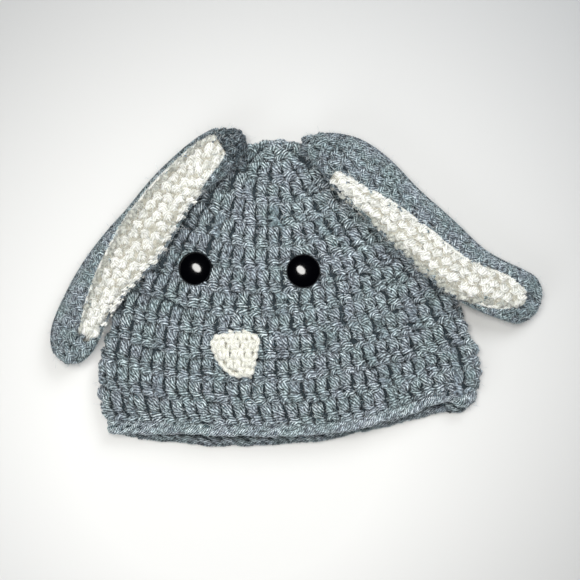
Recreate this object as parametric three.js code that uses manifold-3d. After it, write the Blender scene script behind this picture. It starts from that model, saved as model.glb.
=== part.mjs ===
// A crocheted baby hat with two floppy ears, lying flat on a table with its face up.
// Millimetres. X runs across the hat, Y from the rim to the crown, Z up from the table.
// The origin is on the table under the middle of the hat.
import * as THREE from "three";
import { mergeVertices } from "three/addons/utils/BufferGeometryUtils.js";
import Module from "manifold-3d";

const wasm = await Module();
wasm.setup();

// Driving sizes of the hat body
const hatWidth = 183;
const hatLength = 142;
const wall = 4.5;
const foldGap = 2;
const puff = 12;
const puffReach = 50;
const backRimDrop = 5.3;
const rimSkew = 0.15;

// Driving sizes of the ears
const earLength = 140;
const earWidth = 31;
const earThickness = 8.5;
const inlayRecess = 2.2;
const inlayProud = 1.6;
const earCurl = 2.6;
const earCurlReach = 9;
const earDrapeSpan = 46;
const leftTipLift = 1;
const rightTipLift = 3;

// Driving sizes of the face
const buttonDiameter = 16;
const buttonHeight = 4.6;
const buttonRimHeight = 1.8;
const buttonStandOff = 0.7;
const shankDiameter = 5;
const shankLength = 3;
const noseWidth = 24.5;
const noseHeight = 22;
const noseThickness = 3;

// Gap between sewn pieces
const sewnGap = 0.35;

// Sizes that follow from the driving ones
const edgeHeight = 2 * wall + foldGap;
const foldRadius = edgeHeight / 2;
const crownY = hatLength / 2 + backRimDrop / 2;

// The folded sides, a row for each round of stitches that is named here. down is how far
// the round lies below the crown in the middle of the face, leftDown and rightDown at the
// folds, as shares of hatLength. left and right are the folds' places across, as shares of
// half of hatWidth.
const foldRows = [
  { down: 0.0, left: -0.08, leftDown: 0.0, right: -0.08, rightDown: 0.0 },
  { down: 0.07, left: -0.22, leftDown: 0.012, right: 0.06, rightDown: 0.01 },
  { down: 0.14, left: -0.35, leftDown: 0.045, right: 0.2, rightDown: 0.04 },
  { down: 0.31, left: -0.55, leftDown: 0.196, right: 0.44, rightDown: 0.165 },
  { down: 0.475, left: -0.747, leftDown: 0.365, right: 0.667, rightDown: 0.314 },
  { down: 0.64, left: -0.907, leftDown: 0.534, right: 0.832, rightDown: 0.476 },
  { down: 0.775, left: -0.985, leftDown: 0.686, right: 0.939, rightDown: 0.625 },
  { down: 0.87, left: -1.0, leftDown: 0.8, right: 0.985, rightDown: 0.735 },
  { down: 1.0, left: -0.971, leftDown: 0.966, right: 0.981, rightDown: 0.882 },
];

// How much of the puff the face has at each share of the hat's length below the crown.
const puffRows = [
  { down: 0.0, share: 0.1 },
  { down: 0.2, share: 0.75 },
  { down: 0.45, share: 1.0 },
  { down: 0.7, share: 0.85 },
  { down: 1.0, share: 0.42 },
  { down: 1.1, share: 0.38 },
];

// The ears, from where they are sewn on to the tip. along is a share of earLength, heading
// is in degrees from +X, width is a share of earWidth. inlayFrom and inlayTo are the edges
// of the pale inner panel as shares of the section, from the outer side of the ear.
// inlay is how deep the panel is set in.
const leftEarRows = [
  { along: 0.0, heading: 203, width: 0.3, inlayFrom: 0.28, inlayTo: 0.5, inlay: 0 },
  { along: 0.05, heading: 209, width: 0.58, inlayFrom: 0.2, inlayTo: 0.55, inlay: 0 },
  { along: 0.12, heading: 214, width: 0.68, inlayFrom: 0.13, inlayTo: 0.72, inlay: 1 },
  { along: 0.25, heading: 225, width: 0.69, inlayFrom: 0.1, inlayTo: 0.92, inlay: 1 },
  { along: 0.41, heading: 236, width: 0.78, inlayFrom: 0.06, inlayTo: 0.95, inlay: 1 },
  { along: 0.53, heading: 229, width: 0.86, inlayFrom: 0.1, inlayTo: 0.95, inlay: 1 },
  { along: 0.64, heading: 230, width: 0.82, inlayFrom: 0.2, inlayTo: 0.95, inlay: 1 },
  { along: 0.78, heading: 242, width: 0.76, inlayFrom: 0.38, inlayTo: 0.95, inlay: 1 },
  { along: 0.85, heading: 246, width: 0.77, inlayFrom: 0.5, inlayTo: 0.88, inlay: 1 },
  { along: 0.91, heading: 249, width: 0.73, inlayFrom: 0.55, inlayTo: 0.8, inlay: 0 },
  { along: 0.96, heading: 250, width: 0.55, inlayFrom: 0.5, inlayTo: 0.75, inlay: 0 },
  { along: 1.0, heading: 250, width: 0.2, inlayFrom: 0.4, inlayTo: 0.6, inlay: 0 },
];
const rightEarRows = [
  { along: 0.0, heading: -16, width: 0.25, inlayFrom: 0.6, inlayTo: 0.85, inlay: 0 },
  { along: 0.07, heading: -24, width: 0.56, inlayFrom: 0.68, inlayTo: 0.92, inlay: 0 },
  { along: 0.13, heading: -31, width: 0.75, inlayFrom: 0.72, inlayTo: 0.95, inlay: 0 },
  { along: 0.18, heading: -36, width: 0.86, inlayFrom: 0.68, inlayTo: 0.95, inlay: 1 },
  { along: 0.27, heading: -44, width: 0.92, inlayFrom: 0.56, inlayTo: 0.96, inlay: 1 },
  { along: 0.39, heading: -46, width: 0.9, inlayFrom: 0.4, inlayTo: 0.96, inlay: 1 },
  { along: 0.51, heading: -41, width: 0.96, inlayFrom: 0.35, inlayTo: 0.96, inlay: 1 },
  { along: 0.63, heading: -45, width: 0.97, inlayFrom: 0.32, inlayTo: 0.93, inlay: 1 },
  { along: 0.7, heading: -40, width: 0.93, inlayFrom: 0.24, inlayTo: 0.91, inlay: 1 },
  { along: 0.77, heading: -28, width: 0.92, inlayFrom: 0.17, inlayTo: 0.9, inlay: 1 },
  { along: 0.85, heading: -18, width: 0.87, inlayFrom: 0.17, inlayTo: 0.82, inlay: 1 },
  { along: 0.91, heading: -15, width: 0.8, inlayFrom: 0.28, inlayTo: 0.66, inlay: 0.7 },
  { along: 0.95, heading: -15, width: 0.68, inlayFrom: 0.35, inlayTo: 0.55, inlay: 0 },
  { along: 1.0, heading: -16, width: 0.2, inlayFrom: 0.4, inlayTo: 0.6, inlay: 0 },
];

// Where the ears start and the face pieces sit: across as a share of half of hatWidth,
// down as a share of hatLength below the crown.
const leftEarRoot = { across: -0.237, down: -0.005 };
const rightEarRoot = { across: 0.063, down: 0.008 };
const leftEyePlace = { across: -0.487, down: 0.431 };
const rightEyePlace = { across: 0.068, down: 0.44 };
const nosePlace = { across: -0.288, down: 0.716 };

// The nose patch's outline, as shares of half its width and half its height
const noseOutline = [
  { across: -0.86, up: 0.62 },
  { across: -0.55, up: 0.93 },
  { across: 0.1, up: 0.98 },
  { across: 0.72, up: 0.86 },
  { across: 0.97, up: 0.55 },
  { across: 0.9, up: 0.05 },
  { across: 0.76, up: -0.5 },
  { across: 0.58, up: -0.9 },
  { across: 0.15, up: -1.0 },
  { across: -0.22, up: -0.92 },
  { across: -0.6, up: -0.35 },
  { across: -0.93, up: 0.15 },
];

const bodyColumns = 20;
const bodyRings = 18;
const earStations = 26;
const earRimSteps = 3;
const earInlaySteps = 4;

// All the columns of a table at one value of its first column, on a smooth curve
function readRow(rows, key, at) {
  const last = rows.length - 1;
  let i = 0;
  while (i < last - 1 && at > rows[i + 1][key]) i++;
  const before = rows[Math.max(i - 1, 0)];
  const from = rows[i];
  const to = rows[i + 1];
  const after = rows[Math.min(i + 2, last)];
  const span = to[key] - from[key];
  const u = THREE.MathUtils.clamp((at - from[key]) / span, 0, 1);
  const found = {};
  for (const name of Object.keys(from)) {
    const slopeFrom = ((to[name] - before[name]) / (to[key] - before[key])) * span;
    const slopeTo = ((after[name] - from[name]) / (after[key] - from[key])) * span;
    const rise = to[name] - from[name];
    found[name] =
      from[name] +
      u * (slopeFrom + u * (3 * rise - 2 * slopeFrom - slopeTo + u * (slopeFrom + slopeTo - 2 * rise)));
  }
  return found;
}

const smooth = (value) => THREE.MathUtils.smoothstep(value, 0, 1);
const quarterRound = (value) => Math.sqrt(Math.max(0, 1 - (1 - Math.min(value, 1)) ** 2));
const lerp = THREE.MathUtils.lerp;

function place(spot) {
  return { x: (spot.across * hatWidth) / 2, y: crownY - spot.down * hatLength };
}

// A point of the fold at one side
function foldPoint(side, down) {
  const row = readRow(foldRows, "down", down);
  return place({ across: row[side], down: row[side + "Down"] });
}

// The fold moved inwards by a distance
function insetFold(side, down, inset) {
  const step = 0.01;
  const before = foldPoint(side, Math.max(down - step, 0));
  const after = foldPoint(side, Math.min(down + step, 1));
  const here = foldPoint(side, down);
  const turn = side === "left" ? -1 : 1;
  const dx = (after.x - before.x) * turn;
  const dy = (after.y - before.y) * turn;
  const length = Math.hypot(dx, dy);
  return { x: here.x + (dy / length) * inset, y: here.y - (dx / length) * inset };
}

// Both folds as one line, carried on straight down past the rim
const foldSteps = 60;
const foldLine = [];
for (let i = foldSteps; i > 0; i--) foldLine.push(foldPoint("left", i / foldSteps));
for (let i = 0; i <= foldSteps; i++) foldLine.push(foldPoint("right", i / foldSteps));
foldLine.unshift({ x: foldLine[0].x, y: foldLine[0].y - hatLength });
foldLine.push({ x: foldLine[foldLine.length - 1].x, y: foldLine[foldLine.length - 1].y - hatLength });

// How far a place on the table is inside the folded outline, negative outside it
function insideFold(x, y) {
  let nearest = Infinity;
  let inside = false;
  for (let i = 0; i < foldLine.length; i++) {
    const a = foldLine[i];
    const b = foldLine[(i + 1) % foldLine.length];
    if (a.y > y !== b.y > y && x < a.x + ((y - a.y) / (b.y - a.y)) * (b.x - a.x)) inside = !inside;
    if (i === foldLine.length - 1) continue;
    const dx = b.x - a.x;
    const dy = b.y - a.y;
    const u = THREE.MathUtils.clamp(((x - a.x) * dx + (y - a.y) * dy) / (dx * dx + dy * dy), 0, 1);
    nearest = Math.min(nearest, Math.hypot(x - a.x - u * dx, y - a.y - u * dy));
  }
  return inside ? nearest : -nearest;
}

// Height of the face over the table, away from the rounding of the folds
function faceHeight(inset, y) {
  const share = readRow(puffRows, "down", (crownY - y) / hatLength).share;
  return edgeHeight + puff * share * smooth((inset - foldRadius) / puffReach);
}

// Outer face and back of the hat, and the same for the hollow inside them
function outerHeight(layer, x, y) {
  const inset = Math.max(insideFold(x, y), 0);
  const round = quarterRound(inset / foldRadius);
  const far = layer === "front" ? faceHeight(inset, y) : 0;
  return foldRadius + (far - foldRadius) * round;
}
function innerHeight(layer, x, y) {
  const inset = Math.max(insideFold(x, y), 0);
  const round = quarterRound((inset - wall) / foldGap);
  const far = layer === "front" ? faceHeight(inset, y) - wall : wall;
  return foldRadius + (far - foldRadius) * (inset > wall ? round : 0);
}

// A point of the round that lies down below the crown, t across from the left fold
function roundPoint(layer, down, t, inset) {
  const left = insetFold("left", down, inset);
  const right = insetFold("right", down, inset);
  const chord = (left.y + right.y) / 2;
  const reach = layer === "front" ? hatLength : hatLength + backRimDrop;
  const middle = crownY - inset - down * (reach - inset);
  const y = lerp(left.y, right.y, t) + (middle - chord) * Math.sin(Math.PI * t ** (1 - rimSkew * down));
  return { x: lerp(left.x, right.x, t), y };
}

function geometryOf(points, faces) {
  const positions = new Float32Array(points.flat());
  const geometry = new THREE.BufferGeometry();
  geometry.setAttribute("position", new THREE.BufferAttribute(positions, 3));
  geometry.setIndex(faces);
  return geometry;
}

// Faces between two closed rings of points that start at a and b
function joinRings(faces, a, b, count) {
  for (let i = 0; i < count; i++) {
    const j = (i + 1) % count;
    faces.push(a + i, b + i, b + j, a + i, b + j, a + j);
  }
}

// One closed skin of the hat, from the crown's end to the rim
function bodySkin(points, faces, inset, heightOf, facesOut) {
  const start = points.length;
  const top = roundPoint("front", 0, 0.5, inset);
  points.push([top.x, top.y, foldRadius]);
  const rings = [];
  for (let ring = 1; ring <= bodyRings; ring++) {
    const down = (ring / bodyRings) ** 1.15;
    rings.push(points.length);
    for (const layer of ["front", "back"]) {
      for (let i = 0; i < bodyColumns; i++) {
        const turn = (Math.PI * i) / bodyColumns;
        const t = layer === "front" ? (1 - Math.cos(turn)) / 2 : (1 + Math.cos(turn)) / 2;
        const at = roundPoint(layer, down, t, inset);
        const onFold = i === 0;
        points.push([at.x, at.y, onFold ? foldRadius : heightOf(layer, at.x, at.y)]);
      }
    }
  }
  const count = 2 * bodyColumns;
  const made = [];
  for (let i = 0; i < count; i++) made.push(start, rings[0] + i, rings[0] + ((i + 1) % count));
  for (let ring = 1; ring < rings.length; ring++) joinRings(made, rings[ring - 1], rings[ring], count);
  for (let i = 0; i < made.length; i += 3) {
    faces.push(made[i], made[facesOut ? i + 1 : i + 2], made[facesOut ? i + 2 : i + 1]);
  }
  return rings[rings.length - 1];
}

function hatBodyGeometry() {
  const points = [];
  const faces = [];
  const outerRim = bodySkin(points, faces, 0, outerHeight, true);
  const innerRim = bodySkin(points, faces, wall, innerHeight, false);
  joinRings(faces, outerRim, innerRim, 2 * bodyColumns);
  return geometryOf(points, faces);
}

// What an ear lies on: the face of the hat, and past its fold a slope down to the table
function earSeat(x, y, tipLift) {
  const inset = insideFold(x, y);
  const over = faceHeight(Math.max(inset, foldRadius), y) + sewnGap;
  const fall = THREE.MathUtils.clamp((foldRadius - inset) / earDrapeSpan, 0, 1);
  return tipLift + (over - tipLift) * (0.5 + 0.5 * Math.cos(Math.PI * fall));
}

// The sections of an ear: each has a point on the spine, the way across it and its row
function earSections(rows, root, mirrored) {
  const sections = [];
  const spot = place(root);
  const fine = 8;
  const steps = earStations * fine;
  for (let i = 0; i <= steps; i++) {
    const row = readRow(rows, "along", i / steps);
    const heading = THREE.MathUtils.degToRad(row.heading);
    if (i % fine === 0) {
      const across = heading + (mirrored ? -Math.PI / 2 : Math.PI / 2);
      sections.push({ x: spot.x, y: spot.y, acrossX: Math.cos(across), acrossY: Math.sin(across), row });
    }
    spot.x += (Math.cos(heading) * earLength) / steps;
    spot.y += (Math.sin(heading) * earLength) / steps;
  }
  return sections;
}

// Shares across an ear section where its surface has points, from the outer side to the inner
function acrossShares(row) {
  const margin = 0.03;
  const shares = [];
  for (let i = 0; i <= earRimSteps; i++) {
    const rise = 1 - Math.cos((Math.PI / 2) * (i / earRimSteps));
    shares.push((row.inlayFrom - margin) * rise);
  }
  for (let i = 0; i <= earInlaySteps; i++) {
    shares.push(lerp(row.inlayFrom + margin, row.inlayTo - margin, i / earInlaySteps));
  }
  for (let i = earRimSteps; i >= 0; i--) {
    const rise = 1 - Math.cos((Math.PI / 2) * (i / earRimSteps));
    shares.push(1 - (1 - row.inlayTo - margin) * rise);
  }
  return shares;
}

function earPoint(section, share, tipLift, height) {
  const offset = (share - 0.5) * section.row.width * earWidth;
  const x = section.x + section.acrossX * offset;
  const y = section.y + section.acrossY * offset;
  return [x, y, earSeat(x, y, tipLift) + height];
}

// How full an ear is at a share across: 0 at its edges, 1 where it has its whole thickness
function earFullness(section, share) {
  const width = section.row.width * earWidth;
  const fromEdge = Math.min(share, 1 - share) * width;
  const fromEnd = Math.min(section.row.along, 1 - section.row.along) * earLength;
  const half = earThickness / 2;
  return quarterRound(fromEdge / half) * (0.35 + 0.65 * quarterRound(fromEnd / half));
}

// How far the back curls up over the outer side of the panel
function earCurlHeight(section, share) {
  const { along, inlayFrom, width } = section.row;
  if (share >= inlayFrom) return 0;
  const reach = inlayFrom * width * earWidth;
  const fromEnd = Math.min(along, 1 - along) * earLength;
  return (
    earCurl *
    Math.sin((Math.PI * share) / inlayFrom) *
    smooth(reach / earCurlReach) *
    smooth(fromEnd / earCurlReach)
  );
}

function loftGeometry(rings, mirrored) {
  if (mirrored) rings.forEach((ring) => ring.reverse());
  const points = rings.flat();
  const count = rings[0].length;
  const faces = [];
  for (let i = 1; i < rings.length; i++) joinRings(faces, (i - 1) * count, i * count, count);
  for (const [ring, flip] of [[0, false], [rings.length - 1, true]]) {
    const centre = new THREE.Vector3();
    for (const point of rings[ring]) centre.add(new THREE.Vector3(...point));
    centre.divideScalar(count);
    points.push(centre.toArray());
    for (let i = 0; i < count; i++) {
      const here = ring * count + i;
      const next = ring * count + ((i + 1) % count);
      faces.push(points.length - 1, flip ? next : here, flip ? here : next);
    }
  }
  return geometryOf(points, faces);
}

// The grey back of an ear, with the bed of its inner panel
function earBackGeometry(sections, tipLift, mirrored) {
  const rings = sections.map((section) => {
    const shares = acrossShares(section.row);
    const half = earThickness / 2;
    const bedFrom = earRimSteps + 1;
    const bedTo = bedFrom + earInlaySteps;
    const top = shares.map((share, i) => {
      const bed = i >= bedFrom && i <= bedTo ? inlayRecess * section.row.inlay : 0;
      const curl = earCurlHeight(section, share);
      return earPoint(section, share, tipLift, half + half * earFullness(section, share) + curl - bed);
    });
    const under = shares.slice(1, -1).map((share) => {
      return earPoint(section, share, tipLift, half - half * earFullness(section, share));
    });
    return [...top, ...under.reverse()];
  });
  return loftGeometry(rings, mirrored);
}

// The pale inner panel of an ear, in its bed
function earInnerGeometry(sections, tipLift, mirrored) {
  const leastInlay = 0.35;
  const sideGap = 0.025;
  const inlaid = sections.filter((section) => section.row.inlay >= leastInlay);
  const rings = inlaid.map((section) => {
    const half = earThickness / 2;
    const row = section.row;
    const bed = [];
    for (let i = 0; i <= earInlaySteps; i++) {
      const from = row.inlayFrom + 0.03 + sideGap;
      const to = row.inlayTo - 0.03 - sideGap;
      bed.push(lerp(from, to, i / earInlaySteps));
    }
    const top = bed.map((share, i) => {
      const dome = Math.sin((Math.PI * (i + 0.6)) / (earInlaySteps + 1.2));
      const proud = inlayProud * row.inlay * dome;
      return earPoint(section, share, tipLift, half + half * earFullness(section, share) + proud);
    });
    const under = bed.map((share) => {
      const floor = half + half * earFullness(section, share) - inlayRecess * row.inlay;
      return earPoint(section, share, tipLift, floor + sewnGap);
    });
    return [...top, ...under.reverse()];
  });
  return loftGeometry(rings, mirrored);
}

// The way a piece sewn on the face points
function faceNormal(x, y) {
  const step = 2;
  const riseX = (outerHeight("front", x + step, y) - outerHeight("front", x - step, y)) / (2 * step);
  const riseY = (outerHeight("front", x, y + step) - outerHeight("front", x, y - step)) / (2 * step);
  return new THREE.Vector3(-riseX, -riseY, 1).normalize();
}

// A domed button with a rolled edge and a plain shank behind it
function buttonGeometry() {
  const radius = buttonDiameter / 2;
  const shank = shankDiameter / 2;
  const profile = [
    [0, -shankLength],
    [shank, -shankLength],
    [shank, 0],
    [radius * 0.9, 0],
    [radius * 0.985, buttonRimHeight * 0.35],
    [radius, buttonRimHeight * 0.7],
    [radius * 0.975, buttonRimHeight],
    [radius * 0.9, buttonRimHeight * 1.2],
  ];
  const domeSteps = 6;
  for (let i = 0; i <= domeSteps; i++) {
    const share = 1 - i / domeSteps;
    const dome = buttonRimHeight * 1.15 + (buttonHeight - buttonRimHeight * 1.15) * (1 - share ** 2);
    profile.push([radius * 0.84 * share, dome]);
  }
  const points = profile.map(([x, y]) => new THREE.Vector2(x, y));
  const lathe = new THREE.LatheGeometry(points, 40);
  lathe.rotateX(Math.PI / 2);
  return lathe;
}

function solidOf(geometry) {
  const bare = geometry.clone();
  for (const name of ["normal", "uv"]) bare.deleteAttribute(name);
  const merged = mergeVertices(bare, 1e-3);
  return new wasm.Manifold(
    new wasm.Mesh({
      numProp: 3,
      vertProperties: merged.attributes.position.array,
      triVerts: new Uint32Array(merged.index.array),
    }),
  );
}

function geometryOfSolid(solid) {
  const mesh = solid.getMesh();
  const geometry = new THREE.BufferGeometry();
  geometry.setAttribute("position", new THREE.BufferAttribute(mesh.vertProperties, 3));
  geometry.setIndex(new THREE.BufferAttribute(mesh.triVerts, 1));
  return geometry;
}

// The seat of a button: where its back touches the face, and how it is turned
function buttonSeat(spot) {
  const { x, y } = place(spot);
  const up = faceNormal(x, y);
  const seat = new THREE.Vector3(x, y, outerHeight("front", x, y)).addScaledVector(up, buttonStandOff);
  const turn = new THREE.Quaternion().setFromUnitVectors(new THREE.Vector3(0, 0, 1), up);
  return new THREE.Matrix4().compose(seat, turn, new THREE.Vector3(1, 1, 1));
}

// The hole in the face that a button's shank goes into
function shankPocket(spot) {
  const depth = shankLength + sewnGap;
  const pocket = new THREE.CylinderGeometry(shankDiameter / 2 + sewnGap, shankDiameter / 2 + sewnGap, 2 * depth, 24);
  pocket.rotateX(Math.PI / 2);
  return pocket.applyMatrix4(buttonSeat(spot));
}

// A pad that follows the face of the hat, with the outline of the nose
function noseGeometry() {
  const { x, y } = place(nosePlace);
  const outline = noseOutline.map(
    (point) => new THREE.Vector2((point.across * noseWidth) / 2, (point.up * noseHeight) / 2),
  );
  const curve = new THREE.SplineCurve([...outline, outline[0]]);
  const edge = curve.getPoints(36).slice(0, -1);
  const layers = [
    { share: 0, height: 1 },
    { share: 0.5, height: 0.98 },
    { share: 0.9, height: 0.85 },
    { share: 1, height: 0.45 },
    { share: 0.97, height: 0 },
    { share: 0.5, height: 0 },
    { share: 0, height: 0 },
  ];
  const points = [];
  const faces = [];
  const starts = [];
  for (const layer of layers) {
    starts.push(points.length);
    const around = layer.share === 0 ? [new THREE.Vector2(0, 0)] : edge;
    for (const point of around) {
      const px = x + point.x * layer.share;
      const py = y + point.y * layer.share;
      points.push([px, py, outerHeight("front", px, py) + sewnGap + noseThickness * layer.height]);
    }
  }
  const count = edge.length;
  for (let i = 0; i < count; i++) faces.push(starts[0], starts[1] + ((i + 1) % count), starts[1] + i);
  for (let i = 1; i < layers.length - 2; i++) joinRings(faces, starts[i + 1], starts[i], count);
  const under = starts[layers.length - 2];
  for (let i = 0; i < count; i++) faces.push(starts[layers.length - 1], under + i, under + ((i + 1) % count));
  return geometryOf(points, faces);
}

const greyYarn = new THREE.MeshStandardMaterial({ color: 0x7d868e, roughness: 0.95, metalness: 0 });
const whiteYarn = new THREE.MeshStandardMaterial({ color: 0xeceae0, roughness: 0.95, metalness: 0 });
const blackPlastic = new THREE.MeshStandardMaterial({ color: 0x0a0a10, roughness: 0.12, metalness: 0 });

const hat = new THREE.Group();

function addPiece(name, geometry, material) {
  const piece = new THREE.Mesh(geometry, material);
  piece.name = name;
  hat.add(piece);
  return piece;
}

const bodySolid = [leftEyePlace, rightEyePlace].reduce(
  (solid, spot) => solid.subtract(solidOf(shankPocket(spot))),
  solidOf(hatBodyGeometry()),
);
addPiece("hat_body", geometryOfSolid(bodySolid), greyYarn);

const ears = [
  { side: "left", rows: leftEarRows, root: leftEarRoot, tipLift: leftTipLift, mirrored: false },
  { side: "right", rows: rightEarRows, root: rightEarRoot, tipLift: rightTipLift, mirrored: true },
];
for (const ear of ears) {
  const sections = earSections(ear.rows, ear.root, ear.mirrored);
  addPiece(`ear_${ear.side}_back`, earBackGeometry(sections, ear.tipLift, ear.mirrored), greyYarn);
  addPiece(`ear_${ear.side}_inner`, earInnerGeometry(sections, ear.tipLift, ear.mirrored), whiteYarn);
}

for (const [side, spot] of [["left", leftEyePlace], ["right", rightEyePlace]]) {
  addPiece(`eye_button_${side}`, buttonGeometry(), blackPlastic).applyMatrix4(buttonSeat(spot));
}

addPiece("nose_patch", noseGeometry(), whiteYarn);

export default hat;
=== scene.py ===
import bpy
import numpy as np
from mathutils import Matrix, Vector


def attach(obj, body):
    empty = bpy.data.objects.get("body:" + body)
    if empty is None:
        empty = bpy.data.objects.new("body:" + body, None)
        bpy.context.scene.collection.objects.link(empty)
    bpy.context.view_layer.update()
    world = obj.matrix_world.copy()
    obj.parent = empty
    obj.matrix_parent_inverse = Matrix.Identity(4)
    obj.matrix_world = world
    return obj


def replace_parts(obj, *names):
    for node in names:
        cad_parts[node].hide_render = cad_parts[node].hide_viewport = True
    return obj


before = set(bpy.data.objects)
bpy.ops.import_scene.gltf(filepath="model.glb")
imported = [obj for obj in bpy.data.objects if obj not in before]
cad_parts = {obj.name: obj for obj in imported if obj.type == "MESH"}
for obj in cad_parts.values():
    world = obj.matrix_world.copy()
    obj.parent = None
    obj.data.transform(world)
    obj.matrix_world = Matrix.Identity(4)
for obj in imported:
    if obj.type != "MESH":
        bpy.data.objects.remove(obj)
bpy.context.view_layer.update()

rng = np.random.default_rng(11)
mm = 0.001

# The hat body in millimetres, with the sizes of its solid
hatBody = {
    "width": 183, "length": 142, "wall": 4.5, "foldGap": 2, "puff": 12, "puffReach": 50,
    "backRimDrop": 5.3, "rimSkew": 0.15, "rimYarn": 2.2, "start": 0.004, "fibres": 3000,
    # the right side is folded over: a crease runs up from the rim, and the cloth right of it hangs lower
    "crease": {"x": 75.5, "high": 38, "wide": 2.0, "deep": 4.2, "hang": 3.2, "skew": 0.9},
    # where the rim is pushed up: x, how far that reaches, millimetres up on the face and on the back
    "rimLifts": [(-46, 34, 2.6, 0.9), (19, 24, -1.3, 0.0), (74, 22, 4.0, 1.0)],
    # down, left, left down, right, right down: the folds, as shares of half the width and of the length
    "folds": [
        (0.0, -0.08, 0.0, -0.08, 0.0), (0.07, -0.22, 0.012, 0.06, 0.01), (0.14, -0.35, 0.045, 0.2, 0.04),
        (0.31, -0.55, 0.196, 0.44, 0.165), (0.475, -0.747, 0.365, 0.667, 0.314),
        (0.64, -0.893, 0.534, 0.822, 0.476), (0.775, -0.967, 0.686, 0.927, 0.625),
        (0.87, -1.0, 0.8, 0.985, 0.735), (1.0, -0.957, 0.98, 0.976, 0.886),
    ],
    "puffs": [(0.0, 0.1), (0.2, 0.75), (0.45, 1.0), (0.7, 0.85), (1.0, 0.42), (1.1, 0.38)],
}
foldRadius = hatBody["wall"] + hatBody["foldGap"] / 2
crownY = hatBody["length"] / 2 + hatBody["backRimDrop"] / 2


def readRows(rows, at):  # every column of a table at these values of its first one, on a smooth curve
    table, at = np.array(rows, float), np.asarray(at, float)
    keys = table[:, 0]
    i = np.clip(np.searchsorted(keys, at, side="right") - 1, 0, len(keys) - 2)
    before, after = np.maximum(i - 1, 0), np.minimum(i + 2, len(keys) - 1)
    span = (keys[i + 1] - keys[i])[..., None]
    u = np.clip((at - keys[i])[..., None] / span, 0, 1)
    rise = table[i + 1] - table[i]
    slopeFrom = (table[i + 1] - table[before]) / (keys[i + 1] - keys[before])[..., None] * span
    slopeTo = (table[after] - table[i]) / (keys[after] - keys[i])[..., None] * span
    bend = 3 * rise - 2 * slopeFrom - slopeTo
    return table[i] + u * (slopeFrom + u * (bend + u * (slopeFrom + slopeTo - 2 * rise)))


def smooth(value):
    value = np.clip(value, 0, 1)
    return value * value * (3 - 2 * value)


def quarterRound(value):
    return np.sqrt(np.clip(1 - (1 - np.minimum(value, 1)) ** 2, 0, None))


def unit(vectors):
    return vectors / np.maximum(np.linalg.norm(vectors, axis=-1, keepdims=True), 1e-9)


def placeOnHat(across, down):
    return across * hatBody["width"] / 2, crownY - down * hatBody["length"]


def foldPoint(side, down):
    row = readRows(hatBody["folds"], down)
    column = 1 if side == "left" else 3
    return placeOnHat(row[..., column], row[..., column + 1])


def foldOutline():  # both folds as one line, carried on straight down past the rim
    downs = np.linspace(0, 1, 61)
    left, right = np.stack(foldPoint("left", downs), 1), np.stack(foldPoint("right", downs), 1)
    line = np.concatenate([left[:0:-1], right])
    past = np.array([0, hatBody["length"]])
    return np.concatenate([[line[0] - past], line, [line[-1] - past]])


foldLine = foldOutline()


def insideOutline(line, x, y, closing=True):  # how far inside an outline a place is, negative outside
    points = np.stack([np.ravel(x), np.ravel(y)], 1)
    nearest = np.full(len(points), np.inf)
    inside = np.zeros(len(points), bool)
    for i, a in enumerate(line):
        b = line[(i + 1) % len(line)]
        if a[1] != b[1]:
            crosses = (a[1] > points[:, 1]) != (b[1] > points[:, 1])
            cut = a[0] + (points[:, 1] - a[1]) / (b[1] - a[1]) * (b[0] - a[0])
            inside ^= crosses & (points[:, 0] < cut)
        if closing or i < len(line) - 1:
            along = b - a
            u = np.clip((points - a) @ along / max(along @ along, 1e-9), 0, 1)
            nearest = np.minimum(nearest, np.linalg.norm(points - a - u[:, None] * along, axis=1))
    return np.where(inside, nearest, -nearest).reshape(np.shape(x))


def faceHeight(inset, y):
    share = readRows(hatBody["puffs"], (crownY - y) / hatBody["length"])[..., 1]
    return 2 * foldRadius + hatBody["puff"] * share * smooth((inset - foldRadius) / hatBody["puffReach"])


def hatHeight(isFront, x, y):
    inset = np.maximum(insideOutline(foldLine, x, y, False), 0)
    far = faceHeight(inset, y) if isFront else 0
    return foldRadius + (far - foldRadius) * quarterRound(inset / foldRadius)


class Cloth:  # a surface to crochet on, read at any row v and any share s across or round it
    def __init__(self, points, closed=True, flip=1, marks=None):
        self.points, self.closed, self.marks, self.facing = points, closed, marks, flip
        if closed:
            across = np.roll(points, -1, 1) - np.roll(points, 1, 1)
        else:
            across = np.gradient(points, axis=1)
        self.normals = unit(np.cross(np.gradient(points, axis=0), across)) * flip
        ring = np.concatenate([points, points[:, :1]], 1) if closed else points
        self.widths = np.linalg.norm(np.diff(ring, axis=1), axis=2).sum(1)
        self.past = (points[-1] - points[-2]) * (len(points) - 1)

    def read(self, values, v, s):
        rows, columns = values.shape[:2]
        v = np.clip(v, 0, 1) * (rows - 1)
        i = np.minimum(v.astype(int), rows - 2)
        if self.closed:
            s = (s % 1) * columns
            j = s.astype(int) % columns
            k = (j + 1) % columns
            fs = (s - np.floor(s))[..., None]
        else:
            s = np.clip(s, 0, 1) * (columns - 1)
            j = np.minimum(s.astype(int), columns - 2)
            k = j + 1
            fs = (s - j)[..., None]
        fv = (v - i)[..., None]
        upper = values[i, j] * (1 - fs) + values[i, k] * fs
        return upper * (1 - fv) + (values[i + 1, j] * (1 - fs) + values[i + 1, k] * fs) * fv

    def at(self, v, s, lift):
        v, s = np.broadcast_arrays(np.asarray(v, float), np.asarray(s, float))
        normals = unit(self.read(self.normals, v, s))
        past = np.maximum(v - 1, 0)[..., None] * self.read(self.past[None].repeat(2, 0), v * 0, s)
        return self.read(self.points, v, s) + past + normals * np.asarray(lift)[..., None], normals

    def widthAt(self, v):
        return np.interp(v, np.linspace(0, 1, len(self.widths)), self.widths)


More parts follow.
